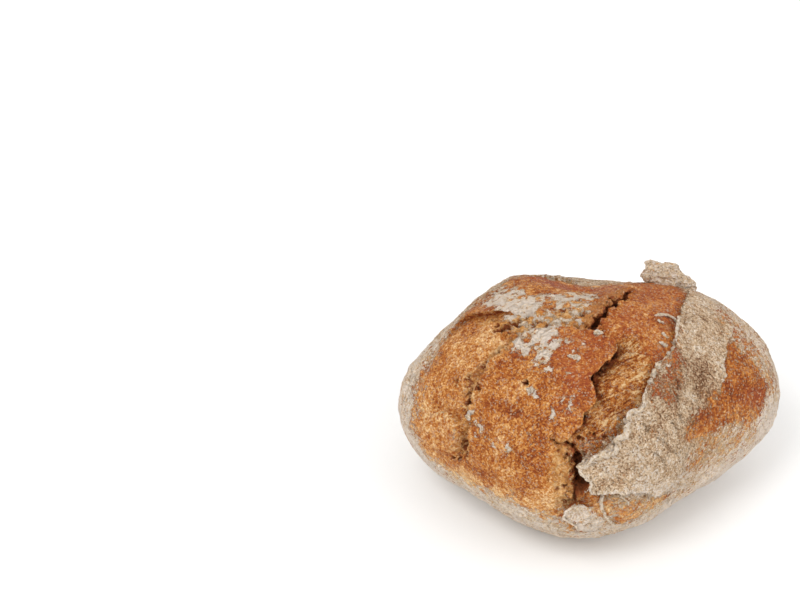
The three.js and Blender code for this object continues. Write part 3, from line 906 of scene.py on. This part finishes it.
def flour_group():
    """Flour: where it lies, broken by grains and by cracks along the grain of the skin where the dusting is
    thin, and gathered in fine veins; and its own mottling, from brown to white where it is heaped."""
    n, given, out = shader_group(
        "flour dusting",
        [("Where", "NodeSocketVector"), ("Way", "NodeSocketVector"), ("Amount", "NodeSocketFloat"),
         ("White", "NodeSocketFloat")],
        [("Cover", "NodeSocketFloat"), ("Color", "NodeSocketColor"), ("Height", "NodeSocketFloat")])
    where = given["Where"]
    small = n.specks(where, FLOUR_GRAIN)
    soft = n.noise(where, 0.0013, 4, 0.7)
    broad = n.noise(where, 0.005, 3, 0.6)
    streak = n.noise(given["Way"], 1.1, 5, 0.75)
    wander = n.noise(where, 0.0022, 3, 0.6)
    vein = n.ramp(n.math("ABSOLUTE", wander), 0.014, 0.0)
    vein = n.math("MULTIPLY", vein, n.ramp(n.noise(where, 0.008, 2, 0.5), -0.02, 0.12))
    lying = n.total((given["Amount"], 1.0), (small, 0.56), (soft, 1.4), (broad, 0.8), (streak, 1.8),
                    (vein, 0.5))
    n.put(out["Cover"], n.ramp(lying, 0.30, 0.62))

    cracks = n.noise(given["Way"], 0.5, 4, 0.75)
    pits = n.noise(where, 0.0005, 4, 0.8)
    dark = n.math("MAXIMUM", n.ramp(cracks, 0.09, 0.17), n.ramp(pits, 0.06, 0.13))
    heap = n.math("MAXIMUM", given["Amount"], 0.6)
    shade = n.total((heap, 0.40), (given["White"], 1.0), (n.specks(where, FINE_GRAIN), 0.62), (soft, 0.5),
                    (streak, 0.3), (dark, -0.44))
    n.put(out["Color"], n.shades(n.math("ADD", shade, HEAP_SHADE), FLOUR_SHADES))
    n.put(out["Height"], n.total((streak, 1.0), (dark, -0.7), (small, 0.4), (soft, 0.8)))
    return n.tree


def grained(name, groups, fields):
    """A dry, matt crust from the two groups; `fields` gives the value or the attribute of each input."""
    material = bpy.data.materials.new(name)
    material.use_nodes = True
    n = Nodes(material.node_tree)
    surface = material.node_tree.nodes["Principled BSDF"]
    where = n.add("ShaderNodeTexCoord").outputs["Object"]
    if "Way" in fields:
        way = n.add("ShaderNodeAttribute", attribute_name=fields["Way"]).outputs["Vector"]
    else:
        way = n.add("ShaderNodeVectorMath", {0: where, "Scale": 1 / MM}, operation="SCALE").outputs[0]
    baked = n.add("ShaderNodeGroup", {"Where": where, "Way": way}, node_tree=groups[0])
    flour = n.add("ShaderNodeGroup", {"Where": where, "Way": way}, node_tree=groups[1])
    for key, given in fields.items():
        if key != "Way":
            group = flour if key in ("Amount", "White") else baked
            n.put(group.inputs[key], n.field(given) if isinstance(given, str) else given)
    cover = n.math("MULTIPLY", flour.outputs["Cover"], 0.9)
    n.put(surface.inputs["Base Color"], n.mix(cover, baked.outputs["Color"], flour.outputs["Color"]))
    n.put(surface.inputs["Roughness"], n.math("MULTIPLY_ADD", cover, 0.3, 0.6))
    surface.inputs["Specular IOR Level"].default_value = 0.15
    floury = n.math("MULTIPLY", flour.outputs["Height"], cover)
    relief = n.total((baked.outputs["Height"], 1.0), (floury, 1.5), (cover, 0.4))
    bump = n.add("ShaderNodeBump", {"Height": relief, "Strength": 1.0, "Distance": 0.0008})
    n.put(surface.inputs["Normal"], bump.outputs["Normal"])
    return material


# ---- torn skin that stands on the crust ----------------------------------------------------------------

# u, v and half width along the lip of the torn skin, and along the hook where it starts again higher up.
LIP = [
    (3.4, -25.9, .1), (.6, -24.2, .3), (.9, -21.6, .3), (-.2, -19, .4), (-1.7, -16.8, .55),
    (0, -16.3, .75), (1.5, -15.4, .85), (3, -14.4, .9), (4.8, -13.9, .9), (6.6, -14.4, .85),
    (8.2, -13.5, .85), (7.7, -12, .9), (8.3, -10.7, .9), (10.2, -9.2, .95), (12.3, -8.2, .95),
    (12.2, -6.5, .85), (11.4, -5, .85), (12.6, -3.5, .8), (15, -2.5, .75), (17, -1.4, .7),
    (18.2, .6, .55), (19, 4, .35), (20.4, 6.4, .15)]
HOOK = [
    (34.4, 23.2, .2), (36.4, 26.6, .5), (37.4, 29.4, .6), (38.6, 32.6, .65), (39.4, 35.4, .65),
    (38, 37.6, .6), (35.2, 38.2, .55), (32.6, 38, .5), (31, 37, .3)]
STRING = [(3.4, -25.6), (5, -28.4), (5.2, -31.5), (6.4, -35.4), (8.2, -39.4), (12, -43.5)]
SHORT_STRING = [(11.5, -27.6), (12.9, -31), (15.6, -34.2)]
FLAP_LIP = [(2.6, -46.6, .1), (-1, -41.6, .25), (-4, -37.6, .3), (-6, -34.6, .45), (-3.6, -31.6, .4)]

# Flakes of broken skin: u, v, half length, half width, height, turn in degrees.
FLAKES = [
    (21.5, 7.6, 1.0, .6, .8, 60), (23.4, 10.4, 1.3, .8, 1.0, 75), (24.6, 12.8, 1.0, .7, .8, 40),
    (26.4, 15.2, 1.5, .9, 1.1, 20), (28.8, 17.0, 1.8, 1.0, 1.2, 50), (30.6, 19.4, 1.3, .9, 1.0, 20),
    (29.6, 21.8, 1.4, .6, .7, -20), (32.6, 21.6, 1.5, .7, 1.0, 65), (34.2, 24.4, 1.5, .6, .9, 70),
    (31.6, 27.0, 1.2, .5, .6, -30), (32.6, 34.2, 1.3, .5, .6, -10), (28.6, 13.4, .8, .5, .6, 10),
    (4.5, 24, 1.3, .8, .5, 0), (-6.5, 22, .8, .6, .4, 20), (-3.2, 16, 1.8, .6, .5, -12),
    (-18.2, 4.9, 1.1, .7, .5, -30), (-38.2, -4.2, .8, .9, .4, 80), (-24, -15, .9, .6, .4, 20),
    (-12.5, 11.2, .6, .5, .3, 0), (-5.5, 10, .5, .5, .3, 0), (-22, 37.6, .9, .6, .4, 10),
    (-8, 33, .8, .5, .4, 0)]

# Torn lumps of crumb along the splits and the tear: u, v, half length, half width, height, turn in degrees.
CRUMBS = [
    (25.6, 61.4, 1.3, .9, 1.1, 60), (22.0, 57.2, 1.5, 1.0, 1.2, 50), (19.2, 53.0, 1.2, .8, 1.0, 65),
    (15.8, 50.4, 1.6, 1.0, 1.3, 45), (12.6, 46.6, 1.4, .9, 1.1, 60), (10.0, 43.8, 1.2, .9, 1.0, 40),
    (7.6, 40.4, 1.6, 1.0, 1.2, 55), (5.0, 37.2, 1.3, .9, 1.0, 60), (2.6, 33.4, 1.4, .8, 1.0, 70),
    (28.2, 59.4, 1.2, .8, .8, 50), (23.2, 52.4, 1.4, .8, .9, 55), (18.0, 46.6, 1.2, .8, .8, 40),
    (12.8, 40.2, 1.5, .8, .9, 50), (8.2, 33.8, 1.2, .8, .8, 60), (5.6, 29.6, 1.1, .8, .8, 40),
    (-4.8, -13.6, 1.1, .8, 1.0, 70), (-4.4, -17.4, 1.3, .8, 1.1, 85), (-3.9, -21.4, 1.1, .9, 1.1, 80),
    (-3.6, -25.2, 1.3, .8, 1.0, 100), (-5.2, -28.4, 1.1, .8, .9, 120), (-.6, -8.6, 1.3, .8, 1.0, 40),
    (2.2, -11.6, 1.0, .7, .8, 20), (-29.6, 24.2, 1.5, .9, 1.0, 50), (-32.0, 20.8, 1.1, .7, .8, 60),
    (-34.0, 15.6, 1.4, .9, 1.0, 60), (-36.4, 10.8, 1.5, .8, .9, 70), (-38.0, 5.6, 1.2, .7, .8, 80),
    (-42.4, 4.0, 1.3, .9, .9, 60), (-42.8, -1.6, 1.1, .8, .8, 80), (-41.6, -6.6, 1.3, .8, .8, 90),
    (-40.8, -12.2, 1.2, .8, .8, 80), (-45.2, -14.6, 1.3, .9, .9, 40), (-46.4, -19.2, 1.2, .8, .8, 60),
    (-30.6, 27.6, 1.2, .8, .8, 30), (-26.0, 28.6, 1.3, .7, .8, 20), (-24.4, 33.2, 1.4, .7, .7, 10)]

# The standing shred's lumps: where each stands on the map, half length, half thickness, height, turn.
SHRED_LUMPS = [
    (49.5, 83.5, 3.6, 2.2, 6.8, -36), (54, 78, 3.4, 2.0, 7.4, -40), (57.5, 73.5, 2.6, 1.7, 5.2, -44),
    (62, 68, 3.0, 1.5, 3.4, -46)]

TUBE_ROUGH = 0.07     # how far noise moves a lip's or a string's surface
LIP_INSET = 0.3       # how far in from the torn edge a lip stands
THINNEST = 0.05       # the least half width or half thickness of a lip
FOLDED = np.array([0.7, 1.0, 1.8])   # crumpled skin folds closer together upwards than along


def settled(target):
    """Map places that the ragged edges move onto the target places: four rounds of stepping back by the
    push."""
    place = target
    for _ in range(4):
        place = target - (ragged(place, *RAGGED) - place)
    return place


def carried(path, sway, up, wide, thick, tilt, sides=16):
    """A closed tube along a path over the map: an ellipse of half width and half thickness stands across the
    path, tilted in degrees, moved sideways and up in mm, roughened by noise, and shut at both ends, where it
    shrinks by sqrt(1 - x^30). The path is smoothed by three rounds of (1, 2, 1) / 4."""
    d = to_direction(settled(path[:, :2]))
    at, _ = crust_points(d)
    for _ in range(3):
        at[1:-1] = (at[:-2] + 2 * at[1:-1] + at[2:]) / 4
    way = np.gradient(at, axis=0)
    way /= np.linalg.norm(way, axis=1)[:, None]
    out = d - (d * way).sum(1)[:, None] * way
    out /= np.linalg.norm(out, axis=1)[:, None]
    across = np.cross(out, way)
    at = at + sway[:, None] * across + up[:, None] * out
    ends = np.sqrt(np.clip(1 - np.linspace(-1, 1, len(path)) ** 30, 0, 1))
    turn = np.linspace(0, 2 * np.pi, sides, endpoint=False)[None, :]
    lean = np.radians(tilt)[:, None]
    a, b = (ends * wide)[:, None] * np.cos(turn), (ends * thick)[:, None] * np.sin(turn)
    side, rise = a * np.cos(lean) - b * np.sin(lean), a * np.sin(lean) + b * np.cos(lean)
    points = at[:, None, :] + side[..., None] * across[:, None, :] + rise[..., None] * out[:, None, :]
    points = points.reshape(-1, 3)
    points += TUBE_ROUGH * np.stack([fractal(points / 1.1, 2, 70 + k) for k in range(3)], 1)
    return closed_tube(points, len(path), sides)


def closed_tube(points, count, sides):
    """A tube's points and faces: quads between its `count` rings, and a fan of triangles at each end."""
    i, j = np.meshgrid(np.arange(count - 1), np.arange(sides), indexing="ij")
    a, b = (i * sides + j).ravel(), (i * sides + (j + 1) % sides).ravel()
    faces = np.stack([a, b, b + sides, a + sides], 1).tolist()
    ring = np.arange(sides)
    after = (ring + 1) % sides
    first, last = count * sides, (count - 1) * sides
    points = np.vstack([points, points[:sides].mean(0), points[-sides:].mean(0)])
    faces += np.stack([np.full(sides, first), after, ring], 1).tolist()
    faces += np.stack([np.full(sides, first + 1), last + ring, last + after], 1).tolist()
    return points, faces


def waver(count, size, seed):
    """Slow noise along a path of `count` points, one blot per `size` points."""
    line = np.arange(count) / size
    return fractal(np.stack([line, 0 * line, 0 * line + 0.37], 1), 3, seed)


def curled_lip(points, seed):
    """The ruffled, cream lip of torn skin: rows of [u, v, half width], set in from the edge on the skin's
    side, the right, lifted with its width so that it stays in touch with the crust, and swaying and tilting
    as it goes."""
    path = curve(points, 14)
    along = np.gradient(path[:, :2], axis=0)
    along /= np.linalg.norm(along, axis=1)[:, None]
    path[:, :2] += LIP_INSET * np.stack([along[:, 1], -along[:, 0]], 1)
    count = len(path)
    wide = np.clip(path[:, 2] * (1 + 0.3 * waver(count, 20, seed)), THINNEST, None)
    thick = 0.45 * path[:, 2] * (1 + 0.2 * waver(count, 16, seed + 1)) + 0.08
    thick = np.clip(thick, THINNEST, None)
    tilt = 20 + 40 * waver(count, 30, seed + 2)
    sway = 0.35 * waver(count, 26, seed + 3)
    up = (0.75 * path[:, 2] - 0.12) * (1 + 0.2 * waver(count, 30, seed + 4))
    return carried(path, sway, up, wide, thick, tilt)


def hanging_string(points, width, seed):
    """A string of dough that lies over the crust, from points of the map: it thins from 1.15 to 0.7 times
    its half width, is three quarters as thick as it is wide, and its middle is lifted by about its half
    width."""
    path = curve(points, 16)
    count = len(path)
    thin = np.linspace(1.15, 0.7, count) * width * (1 + 0.25 * waver(count, 9, seed))
    up = thin * (1 + 0.2 * waver(count, 12, seed + 1))
    return carried(path, 0 * up, up, thin, 0.75 * thin, 0 * up, 12)


def lumps(rows, cells_across, roughness, rough_size, seed, sink):
    """Small closed lumps that stand on the crust: a sphere of six patches for each row of [u, v, half
    length, half width, height, turn], stretched to its size, sunk by a share of its height, and crumpled by
    noise."""
    ball, quads = patch_sphere(cells_across)
    row = np.array(rows, float)
    d = to_direction(settled(row[:, :2]))
    at, _ = crust_points(d)
    along_u, along_v = map_axes(row[:, :2])
    turn = np.radians(row[:, 5:6])
    long = np.cos(turn) * along_u + np.sin(turn) * along_v
    wide = np.cos(turn) * along_v - np.sin(turn) * along_u
    x, y, z = (ball[None, :, k, None] for k in range(3))
    points = at[:, None, :] + x * (row[:, 2:3] * long)[:, None, :] + y * (row[:, 3:4] * wide)[:, None, :]
    points = points + ((z + 1) * 0.5 - sink) * (row[:, 4:5] * d)[:, None, :]
    points = points.reshape(-1, 3)
    points += roughness * np.stack([fractal(points * FOLDED / rough_size, 3, seed + k) for k in range(3)], 1)
    faces = (quads[None, :, :] + (np.arange(len(row)) * len(ball))[:, None, None]).reshape(-1, 4)
    return points, faces.tolist()


# ---- the pieces ----------------------------------------------------------------------------------------

groups = baked_grain_group(), flour_group()
crust_look = grained("baked crust", groups, {
    "Way": "way", "Toast": "toast", "Red": "red", "Torn": "torn", "Fibre": "fibre", "DepthAndShade": "deep",
    "Amount": "flour", "White": "white"})
skin_look = grained("torn floured skin", groups, {
    "Toast": -0.05, "Red": 0.0, "Torn": 0.0, "Fibre": 0.0, "DepthAndShade": 0.0, "Amount": 1.3, "White": 0.18})
shred_look = grained("torn shred", groups, {
    "Toast": 0.30, "Red": 0.2, "Torn": 0.2, "Fibre": 0.0, "DepthAndShade": 0.0, "Amount": 0.92, "White": 0.26})

directions, quads = crust_grid()
points, looks = crust_points(directions)
piece("burst_crust", points, quads.tolist(), looks, crust_look)
piece("curled_edge", *curled_lip(LIP, 71), {}, skin_look)
piece("flap_edge", *curled_lip(FLAP_LIP, 81), {}, skin_look)
piece("hooked_edge", *curled_lip(HOOK, 61), {}, skin_look)
piece("hanging_string", *hanging_string(STRING, 0.52, 91), {}, skin_look)
piece("short_string", *hanging_string(SHORT_STRING, 0.30, 95), {}, skin_look)
crumbs, crumb_faces = lumps(CRUMBS, 8, 0.42, 1.1, 130, 0.45)
_, crumb_looks = crust_points(crumbs / np.linalg.norm(crumbs, axis=1)[:, None])
piece("torn_crumbs", crumbs, crumb_faces, crumb_looks, crust_look)
piece("skin_flakes", *lumps(FLAKES, 10, 0.42, 1.0, 100, 0.35), {}, skin_look)
piece("standing_shred", *lumps(SHRED_LUMPS, 40, 1.1, 3.4, 110, 0.12), {}, shred_look)

# ---- the studio ----------------------------------------------------------------------------------------

FLOOR_REACH = 6.0   # half the width of the floor
FLOOR_SHADE = (0.93, 0.93, 0.925, 1)
SKY_LIGHT = 0.92    # strength of the even white light from all round
LOOKED_AT = Vector((0, 0, 0.03))   # where the lamps point
CAMERA_ABOVE, CAMERA_AWAY, LENS = 40, 0.89, 135   # degrees, metres, millimetres
LOOK_LEFT, LOOK_BACK = 48.5, 73.6   # how far from the roll's middle the camera looks, in mm


def floor_material():
    """Plain, pale and matt."""
    material = bpy.data.materials.new("pale studio floor")
    material.use_nodes = True
    surface = material.node_tree.nodes["Principled BSDF"]
    surface.inputs["Base Color"].default_value = FLOOR_SHADE
    surface.inputs["Roughness"].default_value = 0.9
    return material


def studio_floor():
    """One large square on the resting plane."""
    mesh = bpy.data.meshes.new("studio_floor")
    r = FLOOR_REACH
    mesh.from_pydata([(-r, -r, 0), (r, -r, 0), (r, r, 0), (-r, r, 0)], [], [(0, 1, 2, 3)])
    mesh.materials.append(floor_material())
    floor = bpy.data.objects.new("studio_floor", mesh)
    bpy.context.scene.collection.objects.link(floor)


def soft_light(name, place, size, power):
    """A square area light that looks at the roll."""
    lamp = bpy.data.lights.new(name, "AREA")
    lamp.size = size
    lamp.energy = power
    light = bpy.data.objects.new(name, lamp)
    light.location = place
    light.rotation_euler = (LOOKED_AT - Vector(place)).to_track_quat("-Z", "Y").to_euler()
    bpy.context.scene.collection.objects.link(light)


def studio_camera():
    """Looks along +Y from above at a spot to the roll's left and behind it, as a long lens does, so that the
    roll stands low on the right."""
    above = math.radians(CAMERA_ABOVE)
    target = Vector((MIDDLE[0] - LOOK_LEFT, MIDDLE[1] + LOOK_BACK, 0)) * MM
    camera_data = bpy.data.cameras.new("studio_camera")
    camera_data.lens = LENS
    camera_data.sensor_width = 36
    camera = bpy.data.objects.new("studio_camera", camera_data)
    camera.location = target + CAMERA_AWAY * Vector((0, -math.cos(above), math.sin(above)))
    camera.rotation_euler = (target - camera.location).to_track_quat("-Z", "Y").to_euler()
    bpy.context.scene.collection.objects.link(camera)
    bpy.context.scene.camera = camera


def even_sky():
    """White light from all round, and colours shown as they are."""
    world = bpy.data.worlds.new("studio")
    world.use_nodes = True
    background = world.node_tree.nodes["Background"]
    background.inputs["Color"].default_value = (1, 1, 1, 1)
    background.inputs["Strength"].default_value = SKY_LIGHT
    bpy.context.scene.world = world
    bpy.context.scene.view_settings.view_transform = "Standard"


studio_floor()
soft_light("key", (-0.5, -0.55, 1.1), 0.6, 6.0)
soft_light("fill", (0.9, -0.5, 0.8), 0.9, 3.5)
studio_camera()
even_sky()
